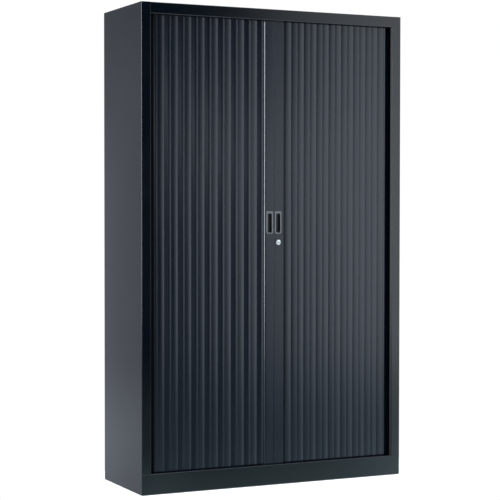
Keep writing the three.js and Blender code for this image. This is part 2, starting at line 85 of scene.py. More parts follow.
make_camera()


# ------------------------------------------------------------------ node helpers
class Tree:
    """A node tree with short calls: values and sockets both go in as arguments."""

    def __init__(self, tree):
        self.t = tree
        tree.nodes.clear()

    def node(self, kind, **props):
        n = self.t.nodes.new(kind)
        for k, v in props.items():
            setattr(n, k, v)
        return n

    def put(self, socket, value):
        if isinstance(value, bpy.types.NodeSocket):
            self.t.links.new(value, socket)
        elif value is not None:
            socket.default_value = value

    def math(self, op, a, b=None, c=None, clamp=False):
        n = self.node("ShaderNodeMath", operation=op, use_clamp=clamp)
        for s, v in zip(n.inputs, (a, b, c)):
            self.put(s, v)
        return n.outputs[0]

    def ramp01(self, value, lo, hi, smooth=False):
        n = self.node("ShaderNodeMapRange")
        n.interpolation_type = "SMOOTHSTEP" if smooth else "LINEAR"
        n.clamp = True
        self.put(n.inputs["Value"], value)
        n.inputs["From Min"].default_value = lo
        n.inputs["From Max"].default_value = hi
        return n.outputs["Result"]

    def mapr(self, value, lo, hi, to_lo, to_hi):
        n = self.node("ShaderNodeMapRange")
        n.clamp = True
        self.put(n.inputs["Value"], value)
        for k, v in (("From Min", lo), ("From Max", hi), ("To Min", to_lo), ("To Max", to_hi)):
            n.inputs[k].default_value = v
        return n.outputs["Result"]

    def colour(self, value, lo, hi):
        n = self.node("ShaderNodeMix", data_type="RGBA")
        self.put(n.inputs["Factor"], value)
        n.inputs["A"].default_value = (*lo, 1.0)
        n.inputs["B"].default_value = (*hi, 1.0)
        # the colour sockets are the ones of that name and type
        for s in n.inputs:
            if s.type == "RGBA" and s.name == "A":
                s.default_value = (*lo, 1.0)
            if s.type == "RGBA" and s.name == "B":
                s.default_value = (*hi, 1.0)
        return [o for o in n.outputs if o.type == "RGBA"][0]

    def noise(self, vector, scale, detail=2.0, rough=0.5):
        n = self.node("ShaderNodeTexNoise")
        self.put(n.inputs["Vector"], vector)
        n.inputs["Scale"].default_value = scale
        n.inputs["Detail"].default_value = detail
        n.inputs["Roughness"].default_value = rough
        return n.outputs["Fac"]

    def stretched(self, vector, x, y, z):
        n = self.node("ShaderNodeMapping")
        self.put(n.inputs["Vector"], vector)
        n.inputs["Scale"].default_value = (x, y, z)
        return n.outputs["Vector"]

    def bump(self, height, strength, distance, normal=None):
        n = self.node("ShaderNodeBump")
        self.put(n.inputs["Height"], height)
        n.inputs["Strength"].default_value = strength
        n.inputs["Distance"].default_value = distance
        if normal is not None:
            self.put(n.inputs["Normal"], normal)
        return n.outputs["Normal"]


# ------------------------------------------------------------------ studio
def make_world():
    world = bpy.data.worlds.new("studio")
    scene.world = world
    world.use_nodes = True
    t = Tree(world.node_tree)
    d = t.node("ShaderNodeSeparateXYZ")
    t.put(d.inputs[0], t.node("ShaderNodeTexCoord").outputs["Generated"])
    x, y, z = d.outputs
    # heading: 0 in front of the cabinet, 90 at its right, -90 at its left
    heading = t.math("MULTIPLY", t.math("ARCTAN2", x, t.math("MULTIPLY", y, -1.0)), 180 / math.pi)
    PEAK = 4.0

    def by_heading(h, stops):
        n = t.node("ShaderNodeValToRGB")
        t.put(n.inputs[0], t.mapr(h, -180.0, 180.0, 0.0, 1.0))
        el = n.color_ramp.elements
        while len(el) > 1:
            el.remove(el[-1])
        el[0].position = 0.0
        for i, (deg, level) in enumerate(stops):
            e = el[0] if i == 0 else el.new((deg + 180) / 360)
            e.color = (level / PEAK, level / PEAK, level / PEAK, 1.0)
        return t.math("MULTIPLY", n.outputs[0], PEAK)

    # the edge of the large panel at the right stands further left at the camera's height
    up = t.math("SUBTRACT", 1.0, t.math("DIVIDE", t.math("SUBTRACT", z, 0.02), 0.10), clamp=True)
    down = t.math("SUBTRACT", 1.0, t.math("DIVIDE", t.math("SUBTRACT", 0.02, z), 0.18), clamp=True)
    lean = t.math("MULTIPLY", t.math("MINIMUM", up, down), t.ramp01(heading, 22.0, 26.0))
    shifted = t.math("ADD", heading, t.math("MULTIPLY", lean, 2.9))
    upper = by_heading(shifted, [
        (-180, 0.47), (-165, 0.45), (-157, 0.42), (-140, 0.50), (-110, 0.8), (-92, 0.8), (-86, 1.9), (-69, 1.9), (-64, 0.35), (-45, 0.15),
        (-20, 0.06), (0, 0.03), (9, 0.04), (13, 0.10), (17.5, 0.12), (20.0, 0.0), (23.0, 0.0), (23.8, 0.02), (24.5, 0.03),
        (25.2, 0.16), (26.1, 0.56), (27.1, 0.91), (28.3, 1.16), (29.2, 1.49), (30.1, 1.76), (31.0, 1.87), (34.0, 2.02),
        (60, 2.0), (85, 1.5), (110, 1.0), (140, 0.7), (180, 0.50),
    ])
    # in front, the slope against the forward direction is the same all along the cabinet
    front = t.math("DIVIDE", z, t.math("MAXIMUM", t.math("MULTIPLY", y, -1.0), 0.5))
    low = by_heading(heading, [
        (-180, 0.61), (-158, 0.62), (-120, 0.66), (-92, 0.6), (-86, 1.25), (-69, 1.25), (-64, 0.5), (-45, 0.3), (16, 0.16), (20, 0.15), (21.8, 0.20),
        (24.9, 0.25), (26.5, 0.31), (27.1, 0.35), (28.3, 0.40), (29.5, 0.58), (30.4, 0.82), (31.0, 1.05), (31.8, 1.05),
        (33.5, 0.74), (36, 0.64), (45, 0.62), (90, 0.8), (140, 0.8), (180, 0.61),
    ])
    ground = by_heading(heading, [
        (-180, 0.53), (-158, 0.54), (-120, 0.56), (-90, 0.52), (-45, 0.5), (0, 0.5), (21.8, 0.60), (24.9, 0.64),
        (27.1, 0.74), (29.0, 0.82), (29.8, 0.86), (30.4, 1.00), (31.0, 1.25), (32.3, 1.30), (34, 1.1), (45, 1.0), (90, 1.0), (140, 0.8),
        (180, 0.57),
    ])
    beside = t.ramp01(heading, -60.0, -110.0)
    fall = t.ramp01(front, -0.106, -0.142)
    fall = t.math("ADD", fall, t.math("MULTIPLY", beside, t.math("SUBTRACT", t.ramp01(z, -0.100, -0.142), fall)))
    base = t.math("MULTIPLY", t.ramp01(front, -0.182, -0.1885), t.math("SUBTRACT", 1.0, beside))
    base = t.math("ADD", base, t.math("MULTIPLY", beside, t.ramp01(z, -0.155, -0.176)))
    lift = t.math("MULTIPLY", t.ramp01(front, -0.140, -0.182), t.ramp01(heading, 23.6, 22.4))
    bright = t.math("MULTIPLY", t.ramp01(front, -0.142, -0.172), t.ramp01(heading, 30.5, 31.0))
    bright = t.math("MULTIPLY", bright, t.ramp01(heading, 32.4, 31.8))
    lower = t.math("ADD", low, t.math("MULTIPLY", base, t.math("SUBTRACT", ground, low)))
    lower = t.math("ADD", lower, t.math("MULTIPLY", t.math("MULTIPLY", lift, t.ramp01(heading, 20.8, 21.6)), 0.28))
    lower = t.math("ADD", lower, t.math("MULTIPLY", bright, 0.36))
    lower = t.math("SUBTRACT", lower, t.math("MULTIPLY", t.math("MULTIPLY", t.ramp01(front, -0.150, -0.172), t.ramp01(front, -0.1875, -0.184)), 0.13))
    level = t.math("ADD", upper, t.math("MULTIPLY", fall, t.math("SUBTRACT", lower, upper)))
    level = t.math("MULTIPLY", level, t.math("SUBTRACT", 1.0, t.math("MULTIPLY", beside, t.mapr(z, 0.075, 0.125, 0.0, 0.16))))
    # the side shows the room behind it, lighter towards the rear edge
    rear = t.math("POWER", t.ramp01(heading, -158.4, -159.8), 3.0)
    rear = t.math("MULTIPLY", t.math("SUBTRACT", t.math("MULTIPLY", rear, 0.52), 0.06), t.ramp01(z, 0.065, 0.015))
    level = t.math("MULTIPLY", level, t.math("ADD", 1.0, t.math("MULTIPLY", rear, t.ramp01(heading, -150.0, -156.0))))
    # a far window, seen as a slanting patch of light in the dark part between the panels
    centre = t.math("MULTIPLY_ADD", t.math("SUBTRACT", 18.9, heading), 0.0092, 0.0320)
    patch = t.math("SUBTRACT", 1.0, t.math("DIVIDE", t.math("ABSOLUTE", t.math("SUBTRACT", z, centre)), 0.047), clamp=True)
    faint = t.math("MULTIPLY", t.math("MULTIPLY", t.ramp01(z, 0.03, -0.04), t.ramp01(z, -0.115, -0.085)), 0.20)
    patch = t.math("ADD", t.math("MULTIPLY", patch, 1.40), faint)
    patch = t.math("MULTIPLY", patch, t.math("MULTIPLY", t.ramp01(heading, 10.0, 13.5), t.ramp01(heading, 20.1, 18.9)))
    level = t.math("ADD", level, patch)
    patch = t.math("SUBTRACT", 1.0, t.math("DIVIDE", t.math("ABSOLUTE", t.math("SUBTRACT", z, 0.030)), 0.058), clamp=True)
    patch = t.math("MULTIPLY", patch, t.math("MULTIPLY", t.ramp01(heading, 23.0, 24.0), t.ramp01(heading, 26.1, 25.1)))
    level = t.math("ADD", level, t.math("MULTIPLY", patch, 0.52))
    # the back wall darkens a little upwards, the overhead light takes over with height
    over = t.ramp01(z, 0.30, 0.85, smooth=True)
    level = t.math("MULTIPLY", level, t.mapr(z, 0.05, 0.14, 1.0, 0.87))
    level = t.math("ADD", t.math("MULTIPLY", level, t.math("SUBTRACT", 1.0, over)), t.math("MULTIPLY", over, 0.9))
    # the softbox over the front, and the white floor in front as smooth folds show it
    level = t.math("ADD", level, t.math("MULTIPLY", t.ramp01(z, 0.90, 0.965), 7.0))
    band = t.math("MULTIPLY", t.ramp01(z, 0.50, 0.56), t.ramp01(z, 0.92, 0.88))
    band = t.math("MULTIPLY", band, t.math("MULTIPLY", t.ramp01(heading, 16.0, 18.0), t.ramp01(heading, 37.0, 34.0)))
    level = t.math("ADD", level, t.math("MULTIPLY", band, t.mapr(heading, 22.0, 30.0, 11.0, 3.5)))
    below = t.math("MULTIPLY", t.ramp01(z, -0.26, -0.45), t.math("SUBTRACT", 1.0, beside))
    level = t.math("ADD", level, t.math("MULTIPLY", below, 1.7))
    # a tall narrow strip light at the left
    off = t.math("ABSOLUTE", t.math("ADD", heading, 65.0))
    strip = t.math("MULTIPLY", t.math("SUBTRACT", 1.0, t.ramp01(off, 4.5, 7.0)), t.ramp01(z, -0.094, -0.050))
    strip = t.math("MULTIPLY", strip, t.math("SUBTRACT", 1.0, t.ramp01(z, 0.35, 0.45)))
    level = t.math("ADD", level, t.math("MULTIPLY", strip, 14.0))
    light = t.node("ShaderNodeBackground")
    tint = t.colour(t.math("MULTIPLY", t.ramp01(front, -0.13, -0.18), t.ramp01(z, -0.40, -0.25)), (0.93, 1.0, 1.06), (0.79, 1.06, 1.13))
    mixed = t.node("ShaderNodeMix", data_type="RGBA")
    t.put(mixed.inputs["Factor"], beside)
    for socket in mixed.inputs:
        if socket.type == "RGBA" and socket.name == "A":
            t.put(socket, tint)
        if socket.type == "RGBA" and socket.name == "B":
            socket.default_value = (0.915, 1.0, 1.13, 1.0)
    t.put(light.inputs["Color"], [q for q in mixed.outputs if q.type == "RGBA"][0])
    t.put(light.inputs["Strength"], level)
    white = t.node("ShaderNodeBackground")
    white.inputs["Color"].default_value = (1.0, 1.0, 1.0, 1.0)
    white.inputs["Strength"].default_value = 1.02
    mix = t.node("ShaderNodeMixShader")
    t.put(mix.inputs[0], t.node("ShaderNodeLightPath").outputs["Is Camera Ray"])
    t.put(mix.inputs[1], light.outputs[0])
    t.put(mix.inputs[2], white.outputs[0])
    out = t.node("ShaderNodeOutputWorld")
    t.put(out.inputs["Surface"], mix.outputs[0])


def make_floor():
    bm = bmesh.new()
    ring = [bm.verts.new((4.2 * math.cos(a), 4.2 * math.sin(a), 0.0)) for a in (2 * math.pi * i / 96 for i in range(96))]
    bm.faces.new(ring)
    me = bpy.data.meshes.new("floor")
    bm.to_mesh(me)
    bm.free()
    floor = bpy.data.objects.new("floor", me)
    scene.collection.objects.link(floor)
    m = bpy.data.materials.new("floor")
    m.use_nodes = True
    t = Tree(m.node_tree)
    diff = t.node("ShaderNodeBsdfDiffuse")
    diff.inputs["Color"].default_value = (0.62, 0.63, 0.64, 1.0)
    glow = t.node("ShaderNodeEmission")
    glow.inputs["Color"].default_value = (1.0, 1.0, 1.0, 1.0)
    # the camera-ray glow is cut off over the cabinet's footprint: a painted shadow in the gap under the cabinet
    spot = t.node("ShaderNodeSeparateXYZ")
    t.put(spot.inputs[0], t.node("ShaderNodeTexCoord").outputs["Object"])
    out_x = t.math("SUBTRACT", t.math("ABSOLUTE", spot.outputs[0]), 0.600)
    out_y = t.math("SUBTRACT", t.math("ABSOLUTE", spot.outputs[1]), 0.215)
    clear = t.ramp01(t.math("MAXIMUM", out_x, out_y), -0.004, 0.001)
    seen = t.math("MULTIPLY", t.node("ShaderNodeLightPath").outputs["Is Camera Ray"], 0.62)
    t.put(glow.inputs["Strength"], t.math("MULTIPLY", seen, clear))
    add = t.node("ShaderNodeAddShader")
    t.put(add.inputs[0], diff.outputs[0])
    t.put(add.inputs[1], glow.outputs[0])
    # away from the cabinet the floor is as white as the wall behind it
    plain = t.node("ShaderNodeEmission")
    plain.inputs["Color"].default_value = (1.0, 1.0, 1.0, 1.0)
    plain.inputs["Strength"].default_value = 1.02
    far = t.ramp01(t.math("MAXIMUM", out_x, out_y), 0.03, 0.25)
    even = t.node("ShaderNodeMixShader")
    t.put(even.inputs[0], t.math("MULTIPLY", far, t.node("ShaderNodeLightPath").outputs["Is Camera Ray"]))
    t.put(even.inputs[1], add.outputs[0])
    t.put(even.inputs[2], plain.outputs[0])
    out = t.node("ShaderNodeOutputMaterial")
    t.put(out.inputs["Surface"], even.outputs[0])
    me.materials.append(m)
    floor.visible_glossy = False
    floor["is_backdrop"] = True


make_world()
make_floor()
scene.view_settings.view_transform = "Standard"
scene.view_settings.look = "None"
scene.view_settings.exposure = 0.0
scene.view_settings.gamma = 1.0


# ------------------------------------------------------------------ materials
def principled(name):
    m = bpy.data.materials.new(name)
    m.use_nodes = True
    t = Tree(m.node_tree)
    p = t.node("ShaderNodeBsdfPrincipled")
    out = t.node("ShaderNodeOutputMaterial")
    t.put(out.inputs["Surface"], p.outputs[0])
    place = t.node("ShaderNodeTexCoord").outputs["Object"]
    return m, t, p, place


def powder_coat(name, colour, rough=0.24, texture=1.0, seed=0.0):
    """Smooth satin powder coat: fine orange peel, and slight drifts of gloss and tone."""
    m, t, p, place = principled(name)
    drift = t.noise(place, 3.1 + seed, 3.0, 0.55)
    fine = t.noise(place, 620.0, 2.0, 0.5)
    peel = t.noise(place, 240.0, 1.0, 0.4)
    dark = [c * 0.90 for c in colour]
    light = [c * 1.12 for c in colour]
    t.put(p.inputs["Base Color"], t.colour(drift, dark, light))
    r = t.math("ADD", t.mapr(drift, 0.3, 0.7, rough - 0.015, rough + 0.015), t.mapr(fine, 0.25, 0.75, -0.02, 0.02))
    t.put(p.inputs["Roughness"], r)
    p.inputs["IOR"].default_value = 1.5
    n = t.bump(peel, 0.22 * texture, 0.00006)
    t.put(p.inputs["Normal"], t.bump(fine, 0.25 * texture, 0.00003, n))
    return m


def extruded_pvc(name, colour, rough=0.30, seed=0.0, tint=(1.0, 1.0, 1.0), ior=1.5):
    """Extruded plastic: hair-fine die lines along its length."""
    m, t, p, place = principled(name)
    lines = t.noise(t.stretched(place, 900.0, 900.0, 1.1), 1.0, 3.0, 0.6)
    broad = t.noise(t.stretched(place, 26.0, 26.0, 1.6 + seed), 1.0, 2.0, 0.5)
    grain = t.noise(place, 900.0, 1.0, 0.5)
    t.put(p.inputs["Base Color"], t.colour(broad, [c * 0.9 for c in colour], [c * 1.12 for c in colour]))
    p.inputs["Specular Tint"].default_value = (*tint, 1.0)
    r = t.math("ADD", t.mapr(lines, 0.3, 0.7, rough - 0.03, rough + 0.03), t.mapr(broad, 0.3, 0.7, -0.015, 0.015))
    t.put(p.inputs["Roughness"], r)
    p.inputs["IOR"].default_value = ior
    n = t.bump(lines, 0.12, 0.00003)
    t.put(p.inputs["Normal"], t.bump(grain, 0.10, 0.00002, n))
    return m


def moulded(name, colour, rough=0.42, scale=1400.0):
    """Injection-moulded plastic with a fine spark-eroded grain."""
    m, t, p, place = principled(name)
    grain = t.noise(place, scale, 2.0, 0.6)
    drift = t.noise(place, 14.0, 2.0, 0.5)
    t.put(p.inputs["Base Color"], t.colour(drift, [c * 0.88 for c in colour], [c * 1.14 for c in colour]))
    t.put(p.inputs["Roughness"], t.mapr(grain, 0.3, 0.7, rough - 0.05, rough + 0.05))
    p.inputs["IOR"].default_value = 1.5
    t.put(p.inputs["Normal"], t.bump(grain, 0.22, 0.00004))
    return m


def galvanised(name, colour, rough=0.34, spangle=95.0):
    """Zinc on steel sheet: faint spangle, soft roughness drift."""
    m, t, p, place = principled(name)
    v = t.node("ShaderNodeTexVoronoi")
    t.put(v.inputs["Vector"], place)
    v.inputs["Scale"].default_value = spangle
    cell = t.node("ShaderNodeSeparateColor")
    t.put(cell.inputs[0], v.outputs["Color"])
    drift = t.noise(place, 9.0, 2.0, 0.5)
    tone = t.math("ADD", t.math("MULTIPLY", cell.outputs[0], 0.6), t.math("MULTIPLY", drift, 0.4))
    t.put(p.inputs["Base Color"], t.colour(tone, [c * 0.82 for c in colour], [c * 1.12 for c in colour]))
    t.put(p.inputs["Roughness"], t.mapr(tone, 0.2, 0.8, rough - 0.06, rough + 0.08))
    p.inputs["Metallic"].default_value = 1.0
    t.put(p.inputs["Normal"], t.bump(t.noise(place, 500.0, 1.0, 0.5), 0.08, 0.00003))
    return m


def plated(name, colour, rough=0.14):
    """Nickel plate, turned and polished: handling haze and a fine grain."""
    m, t, p, place = principled(name)
    haze = t.noise(place, 380.0, 3.0, 0.6)
    t.put(p.inputs["Base Color"], t.colour(haze, [c * 0.92 for c in colour], [min(1.0, c * 1.04) for c in colour]))
    t.put(p.inputs["Roughness"], t.mapr(haze, 0.3, 0.7, rough - 0.04, rough + 0.06))
    p.inputs["Metallic"].default_value = 1.0
    t.put(p.inputs["Normal"], t.bump(t.noise(place, 1500.0, 1.0, 0.5), 0.05, 0.00002))
    return m


PAINT = powder_coat("shell_paint", (0.0009, 0.0024, 0.0046), 0.085)
# dark grey, lighter than the shell's black, so that the shaded inside reads: painted fill light
INNER = powder_coat("inner_paint", (0.030, 0.034, 0.039), 0.32, 1.0, 0.7)
SLAT = extruded_pvc("slat_pvc", (0.0026, 0.0047, 0.0092), 0.13, 0.0, (0.93, 0.97, 1.01), 1.52)
LEAD = extruded_pvc("lead_pvc", (0.0026, 0.0056, 0.0118), 0.13, 0.4)
CUP = moulded("moulded_black", (0.0045, 0.0050, 0.0058), 0.34)
# grey for the raised rim of each cup, set light enough to carry part of its bead's highlight: the rim's own tone and a
# painted highlight
GREY_RIM_AND_HIGHLIGHT = moulded("moulded_rim_grey_and_highlight", (0.115, 0.121, 0.128), 0.26)
# near-black matt strip with a low IOR that damps its reflection: painted shade for the gap behind each stile
SHADE_STRIP = moulded("shade_strip_black", (0.0004, 0.0007, 0.0011), 0.75, 700.0)
SHADE_STRIP.node_tree.nodes["Principled BSDF"].inputs["IOR"].default_value = 1.1
TRACK = moulded("track_plastic", (0.0080, 0.0085, 0.0090), 0.45, 900.0)
ZINC = galvanised("zinc", (0.45, 0.46, 0.47))
FOOT_ZINC = galvanised("foot_zinc", (0.40, 0.41, 0.42), 0.38, 300.0)
# near-black for the walls of the keyway in the plated plug: painted shade inside the slot
KEYWAY_SHADE = moulded("keyway_painted_shade", (0.0015, 0.0015, 0.002), 0.6, 700.0)
CHROME = plated("lock_chrome", (0.75, 0.76, 0.77))

BY_SLOT = {
    "shell_paint": PAINT, "inner_paint": INNER, "slat_pvc": SLAT, "lead_pvc": LEAD, "moulded_black": CUP,
    "track_plastic": TRACK, "zinc": ZINC, "foot_zinc": FOOT_ZINC, "lock_chrome": CHROME,
}
for part in frame["record"]["subparts"]:
    o = nodes[part["node"]]
    o.data.materials.clear()
    o.data.materials.append(BY_SLOT[part["material_slot"]])


# ------------------------------------------------------------------ mesh helpers
def finish_mesh(bm, name, body, material, angle=32.0, smooth=True):
    bmesh.ops.recalc_face_normals(bm, faces=bm.faces)
    me = bpy.data.meshes.new(name)
    bm.to_mesh(me)
    bm.free()
    if smooth:
        me.polygons.foreach_set("use_smooth", [True] * len(me.polygons))
        me.set_sharp_from_angle(angle=math.radians(angle))
    o = bpy.data.objects.new(name, me)
    scene.collection.objects.link(o)
    me.materials.append(material)
    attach(o, body)
    return o


def prism(bm, outline, z0, z1, holes=()):
    """A closed prism over an outline in X and Y, millimetres in, metres out."""
    lower_edges, upper_edges = [], []
    for loop in (outline, *holes):
        lo = [bm.verts.new((x * MM, y * MM, z0 * MM)) for x, y in loop]
        hi = [bm.verts.new((x * MM, y * MM, z1 * MM)) for x, y in loop]
        n = len(loop)
        for i in range(n):
            j = (i + 1) % n
            f = bm.faces.new((lo[i], lo[j], hi[j], hi[i]))
            lower_edges.append(bm.edges.get((lo[i], lo[j])))
            upper_edges.append(bm.edges.get((hi[i], hi[j])))
    for edges in (lower_edges, upper_edges):
        if holes:
            bmesh.ops.triangle_fill(bm, use_beauty=True, use_dissolve=False, edges=edges)
        else:
            bmesh.ops.contextual_create(bm, geom=edges)


def arc(cx, cy, r, a0, a1, n):
    return [
        (cx + r * math.cos(math.radians(a0 + (a1 - a0) * k / n)), cy + r * math.sin(math.radians(a0 + (a1 - a0) * k / n)))
        for k in range(n + 1)
    ]


def carve(obj, *cutters):
    """Cuts the cutters out of obj, and leaves a plain mesh."""
    for c in cutters:
        mod = obj.modifiers.new("cut", "BOOLEAN")
        mod.operation = "DIFFERENCE"
        mod.solver = "EXACT"
        mod.object = c
    bpy.context.view_layer.update()
    dg = bpy.context.evaluated_depsgraph_get()
    me = bpy.data.meshes.new_from_object(obj.evaluated_get(dg))
    obj.modifiers.clear()
    old = obj.data
    obj.data = me
    bpy.data.meshes.remove(old)
    for c in cutters:
        bpy.data.objects.remove(c)
    return obj


def loose(bm, name):
    bmesh.ops.recalc_face_normals(bm, faces=bm.faces)
    me = bpy.data.meshes.new(name)
    bm.to_mesh(me)
    bm.free()
    o = bpy.data.objects.new(name, me)
    scene.collection.objects.link(o)
    return o


# ------------------------------------------------------------------ slats
PITCH = 59.5
MID = PITCH / 2
TRACK_Y, TRACK_R, TRACK_X = -182.3, 38.0, 585.0
LEAD_HINGE, FIRST_HINGE = 50.25, {"left": 75.5, "right": 84.0}
SLAT_Z0, SLAT_Z1, PIN = 56.0, 1964.0, 10.0
corner_x, corner_y = TRACK_X - TRACK_R, TRACK_Y + TRACK_R
# the slope of a slat's face, in degrees towards the middle of the cabinet, from its inner to its outer hinge
SLOPE = {
    "left": [(0, 3.9), (6, 2.4), (12, 1.0), (18, 0.1), (24, -0.1), (MID, -0.1), (MID, 2.5), (34, 1.7), (38, 0.0), (42, -2.2),
             (45, -3.2), (PITCH, -3.6)],
    "right": [(0, 1.9), (8, 1.1), (15, 0.4), (22, -0.3), (MID, -1.1), (MID, 1.4), (37, 0.8), (42, 0.0), (47, -0.8),
              (52, -1.5), (PITCH, -2.8)],
}
FACE = {"left": 6.20, "right": 6.34}


def face_at(u, side):
    v = FACE[side]
    for (u0, t0), (u1, t1) in zip(SLOPE[side], SLOPE[side][1:]):
        if u <= u0 or u1 == u0:
            continue
        e = min(u, u1)
        te = t0 + (t1 - t0) * (e - u0) / (u1 - u0)
        v += math.radians((t0 + te) / 2) * (e - u0)
    return v


def shoulder(u, top, inward, r=0.28):
    """Rounds an edge: u is the wall, top the height beside it; inward is the side of the material."""
    out = []
    for k in range(5):
        a = math.radians(90 * k / 4)
        out.append((u + inward * r * (1 - math.cos(a)), top - r + r * math.sin(a)))
    return out


def rib(u0, u1, side, shift=0.0, n=20):
    """The face of one rib between its two shoulders, with a close point beside each."""
    us = [u0 + 0.28, u0 + 0.6] + [u0 + 0.6 + (u1 - u0 - 1.2) * k / n for k in range(1, n)] + [u1 - 0.6, u1 - 0.28]
    return [(u, face_at(u + shift, side)) for u in us]


def slat_outline(side, half=False):
    """One closed outline in the slat's own u and v, with its socket and its bead."""
    end = FIRST_HINGE[side] - LEAD_HINGE if half else PITCH
    shift = PITCH - end
    f = lambda u: face_at(u + shift, side)
    if half and side == "left":
        # reaches over its hinge to the lead profile
        out = [(1.0, 2.83), (1.0, 4.5), (-3.6, 4.6)]
        out += shoulder(-3.6, f(-3.32), 1)[:-1] + rib(-3.6, end - 0.35, side, shift)
    elif half:
        out = [(1.0, 2.83), (1.0, 3.9), (4.4, 3.9)]
        out += shoulder(4.4, f(4.68), 1)[:-1] + rib(4.4, end - 0.35, side, shift)
    else:
        out = [(1.0, 2.83), (1.0, 4.4), (0.35, 4.9)]
        out += shoulder(0.35, f(0.63), 1)[:-1] + rib(0.35, MID - 0.45, side)
        out += list(reversed(shoulder(MID - 0.45, f(MID - 0.73), -1)[:-1]))
        g = f(MID)
        out += [(MID - 0.42, g - 0.46), (MID - 0.2, g - 0.58), (MID, g - 0.62), (MID + 0.2, g - 0.58), (MID + 0.42, g - 0.46)]
        out += shoulder(MID + 0.45, f(MID + 0.73), 1)[:-1] + rib(MID + 0.45, end - 0.35, side)
    out += list(reversed(shoulder(end - 0.35, f(end - 0.63), -1)[:-1]))
    out += [(end - 0.35, 4.9), (end - 1.0, 4.4)]
    out += [(end - 1.0, 3.02), *arc(end, 0, 1.4, 94.3, -212.0, 22)]
    out += [(end - 1.94, 2.2), (end - 2.6, 2.2), (end - 2.6, 4.4)]
    if not half:
        out += [(MID + 0.8, 4.8), (MID, 4.7), (MID - 0.8, 4.8), (2.6, 4.4)]
    elif side == "left":
        out += [(2.6, 4.6)]
    else:
        out += [(6.0, 4.6), (6.0, 2.6)]
    out += [(2.6, 2.0), *arc(0, 0, 3.0, 41.8, -160.0, 20), *arc(0, 0, 1.9, -160.0, 78.0, 20)]
    out += [(0.62, 2.93)]
    return out


def along(s):
    """A point of the hinge line, by the length of the path from the middle of the cabinet."""
    quarter = TRACK_R * math.pi / 2
    if s <= corner_x:
        return s, TRACK_Y
    if s <= corner_x + quarter:
        a = (s - corner_x) / TRACK_R
        return corner_x + TRACK_R * math.sin(a), corner_y - TRACK_R * math.cos(a)
    return TRACK_X, corner_y + (s - corner_x - quarter)


def next_hinge(s, length):
    lo, hi = s, s + 2 * length
    x0, y0 = along(s)
    for _ in range(60):
        mid = (lo + hi) / 2
        x, y = along(mid)
        if math.hypot(x - x0, y - y0) < length:
            lo = mid
        else:
            hi = mid
    return (lo + hi) / 2


def unit(p, q):
    l = math.hypot(q[0] - p[0], q[1] - p[1])
    return (q[0] - p[0]) / l, (q[1] - p[1]) / l


def mirrored(points, sign):
    return [(x * sign, y) for x, y in points]


def make_slats():
    for side, sign in (("left", -1), ("right", 1)):
        outline = slat_outline(side)
        s = FIRST_HINGE[side]
        for k in range(9):
            s1 = next_hinge(s, MID)
            s2 = next_hinge(s1, MID)
            A, M, B = along(s), along(s1), along(s2)
            d1, d2 = unit(A, M), unit(M, B)

            def place(u, v):
                a = (A[0] + d1[0] * u + d1[1] * v, A[1] + d1[1] * u - d1[0] * v)
                w = u - PITCH
                b = (B[0] + d2[0] * w + d2[1] * v, B[1] + d2[1] * w - d2[0] * v)
                m = min(1.0, max(0.0, (u - MID + 1.1) / 2.2))
                return a[0] * (1 - m) + b[0] * m, a[1] * (1 - m) + b[1] * m

            path = [place(u, v) for u, v in outline]
            pin = [(B[0] + 1.3 * math.cos(a), B[1] + 1.3 * math.sin(a)) for a in (2 * math.pi * i / 16 for i in range(16))]
            node = f"{side}_slat_{k + 1:02d}"
            bm = bmesh.new()
            prism(bm, mirrored(path, sign), SLAT_Z0, SLAT_Z1)
            prism(bm, mirrored(pin, sign), SLAT_Z0 - PIN, SLAT_Z0 + 2)
            prism(bm, mirrored(pin, sign), SLAT_Z1 - 2, SLAT_Z1 + PIN)
            o = finish_mesh(bm, node + "_extrusion", "cabinet", SLAT, 40.0)
            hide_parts(node)
            # the right lead slat is the longer one, so the folded slats lie further out there
            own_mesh(o)
            s = s2
        lead = [(LEAD_HINGE + u, TRACK_Y - v) for u, v in slat_outline(side, True)]
        bm = bmesh.new()
        prism(bm, mirrored(lead, sign), SLAT_Z0, SLAT_Z1)
        o = finish_mesh(bm, f"{side}_lead_slat_extrusion", f"{side}_curtain", SLAT, 40.0)
        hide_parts(f"{side}_lead_slat")


make_slats()


# ------------------------------------------------------------------ lead profiles
LEAD_W, LEAD_FRONT, LEAD_BACK, LEAD_WALL, LEAD_R, LEAD_X0 = 45.0, -195.0, -177.0, 1.6, 3.2, 0.5
CUP_X, CUP_Z, CUP_W, CUP_H = 19.7, 1096.0, 31.0, 93.0
LOCK_X, LOCK_Z = 19.5, 1014.0


def pocket_loop(w, h, low, high, n=7, cx=CUP_X, cz=CUP_Z):
    """A rectangle with large lower and small upper corner radii, in X and Z."""
    out = []
    for qx, qz, r, a0 in ((1, 1, high, 0), (-1, 1, high, 90), (-1, -1, low, 180), (1, -1, low, 270)):
        ox, oz = cx + qx * (w / 2 - r), cz + qz * (h / 2 - r)
        out += [
            (ox + r * math.cos(math.radians(a0 + 90 * k / n)), oz + r * math.sin(math.radians(a0 + 90 * k / n)))
            for k in range(n + 1)
        ]
    return out


def loft(bm, rings):
    """Joins closed rings of the same number of points, in metres, and caps both ends."""
    made = [[bm.verts.new(p) for p in ring] for ring in rings]
    n = len(made[0])
    for a, b in zip(made, made[1:]):
        for i in range(n):
            j = (i + 1) % n
            bm.faces.new((a[i], a[j], b[j], b[i]))
    bm.faces.new(made[0])
    bm.faces.new(list(reversed(made[-1])))


def slab(loop, y0, y1, sign=1):
    """A cutter over a loop in X and Z."""
    bm = bmesh.new()
    loft(bm, [[(sign * x * MM, y * MM, z * MM) for x, z in loop] for y in (y0, y1)])
    return loose(bm, "cutter")


def round_loop(cx, cz, r, n=48):
    return [(cx + r * math.cos(2 * math.pi * i / n), cz + r * math.sin(2 * math.pi * i / n)) for i in range(n)]


